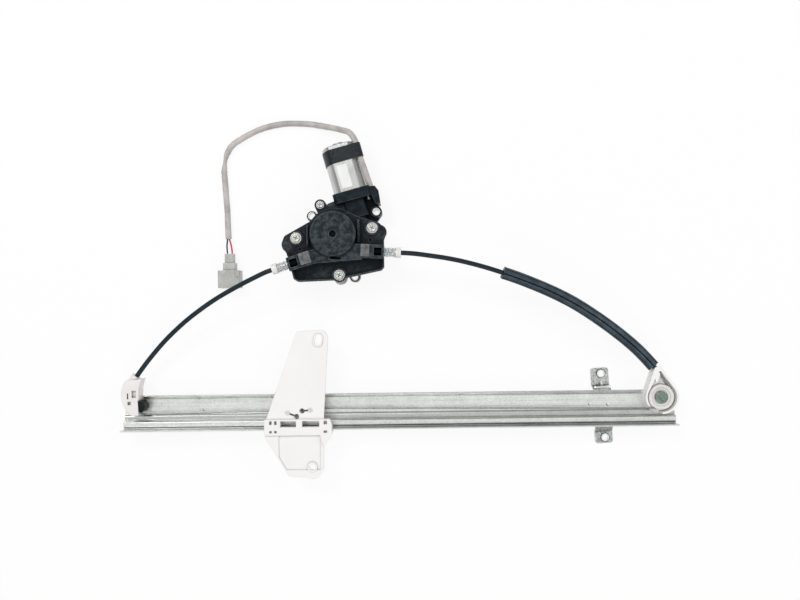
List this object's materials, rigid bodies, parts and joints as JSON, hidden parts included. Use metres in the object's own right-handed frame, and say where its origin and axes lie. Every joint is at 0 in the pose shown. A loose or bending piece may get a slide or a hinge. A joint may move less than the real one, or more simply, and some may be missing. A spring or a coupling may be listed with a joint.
{
  "type": "window regulator",
  "caption": "Cable window regulator: pressed guide rail, sliding glass carrier, end pulley, cable guide, sheathed cables, drum housing and worm-geared motor with a lead and plug.",
  "frame": {"origin": "centre of the rail bracket's upper hole, on the plane that meets the door panel", "axes": "+X along the guide rail towards the pulley (the way the glass rises), +Y across the rail towards the motor, +Z away from the door panel"},
  "size_m": [0.591, 0.3824, 0.052],
  "materials": {
    "galvanised": "satin",
    "zinc_steel": "bright",
    "cable_steel": "stranded",
    "nipple_zinc": "cast",
    "white_nylon": "moulded",
    "natural_acetal": "moulded",
    "black_nylon": "moulded",
    "black_rubber": "matt",
    "black_cover": "smooth",
    "sleeve_rubber": "ribbed",
    "clear_plastic": "clear",
    "motor_steel": "plated",
    "ferrite": "sintered",
    "lamination": "stacked",
    "copper": "enamelled",
    "bronze": "sintered",
    "carbon": "pressed",
    "black_tape": "wrapped",
    "label_white": "paper",
    "lead_grey": "flexible",
    "grommet_black": "moulded",
    "wire_blue": "insulation",
    "wire_red": "insulation",
    "connector_grey": "moulded",
    "tin_plate": "plated"
  },
  "bodies": {
    "base": {"guide_rail": "galvanised", "rail_bracket": "galvanised", "mount_plate": "galvanised", "drum_housing_screws": "zinc_steel", "case_screw": "zinc_steel", "can_screws": "zinc_steel", "mount_bushes": "zinc_steel", "pulley_rivet": "zinc_steel", "wire_left_run": "cable_steel", "wire_right_run": "cable_steel", "wire_at_guide": "cable_steel", "wire_at_pulley": "cable_steel", "housing_wires": "cable_steel", "tension_spring_left": "cable_steel", "tension_spring_right": "cable_steel", "cable_guide": "white_nylon", "pulley_housing": "white_nylon", "tension_cap_left": "white_nylon", "tension_cap_right": "white_nylon", "gear_housing": "black_nylon", "drum_housing": "black_nylon", "brush_card": "black_nylon", "bumper": "black_rubber", "conduit_left": "black_cover", "conduit_right": "black_cover", "conduit_sleeve": "sleeve_rubber", "tension_tube_left": "clear_plastic", "tension_tube_right": "clear_plastic", "motor_can": "motor_steel", "magnets": "ferrite", "shaft_bushes": "bronze", "motor_bushes": "bronze", "brushes": "carbon", "tape_band": "black_tape", "can_label": "label_white", "lead_sleeve": "lead_grey", "lead_grommet": "grommet_black", "lead_wire_left": "wire_blue", "lead_wire_right": "wire_red", "connector_housing": "connector_grey", "terminals": "tin_plate"},
    "carrier": {"glass_carrier": "white_nylon", "cable_nipples": "nipple_zinc"},
    "drum_train": {"worm_wheel": "natural_acetal", "rubber_pads": "black_rubber", "drive_plate": "zinc_steel", "drive_shaft": "zinc_steel", "cable_drum": "natural_acetal", "wound_cable": "cable_steel"},
    "armature": {"armature_core": "lamination", "armature_coils": "copper", "commutator": "copper", "motor_shaft": "zinc_steel"},
    "pulley_wheel": {"pulley": "natural_acetal"}
  },
  "joints": [
    {"name": "motor_turn", "type": "hinge", "parent": "base", "child": "armature", "pos_m": [-0.25693, 0.15863, 0.018], "axis": [-0.2622, 0.965, 0], "range_deg": [-33490, 75020]},
    {"name": "carrier_slide", "type": "slide", "parent": "base", "child": "carrier", "axis": [1, 0, 0], "range_m": [-0.125, 0.28], "deforming": ["wire_left_run", "wire_right_run"]},
    {"name": "drum_turn", "type": "hinge", "parent": "base", "child": "drum_train", "pos_m": [-0.2854, 0.1509, 0.02], "axis": [0, 0, 1], "continuous": true},
    {"name": "pulley_turn", "type": "hinge", "parent": "base", "child": "pulley_wheel", "pos_m": [0.0594, -0.024, 0.0164], "axis": [0, 0, 1], "continuous": true}
  ],
  "couplings": [
    {"joint": "carrier_slide", "follows": "motor_turn", "m_per_rad": 0.00021382},
    {"joint": "drum_turn", "follows": "motor_turn", "ratio": -0.013158},
    {"joint": "pulley_turn", "follows": "motor_turn", "ratio": 0.017818}
  ]
}
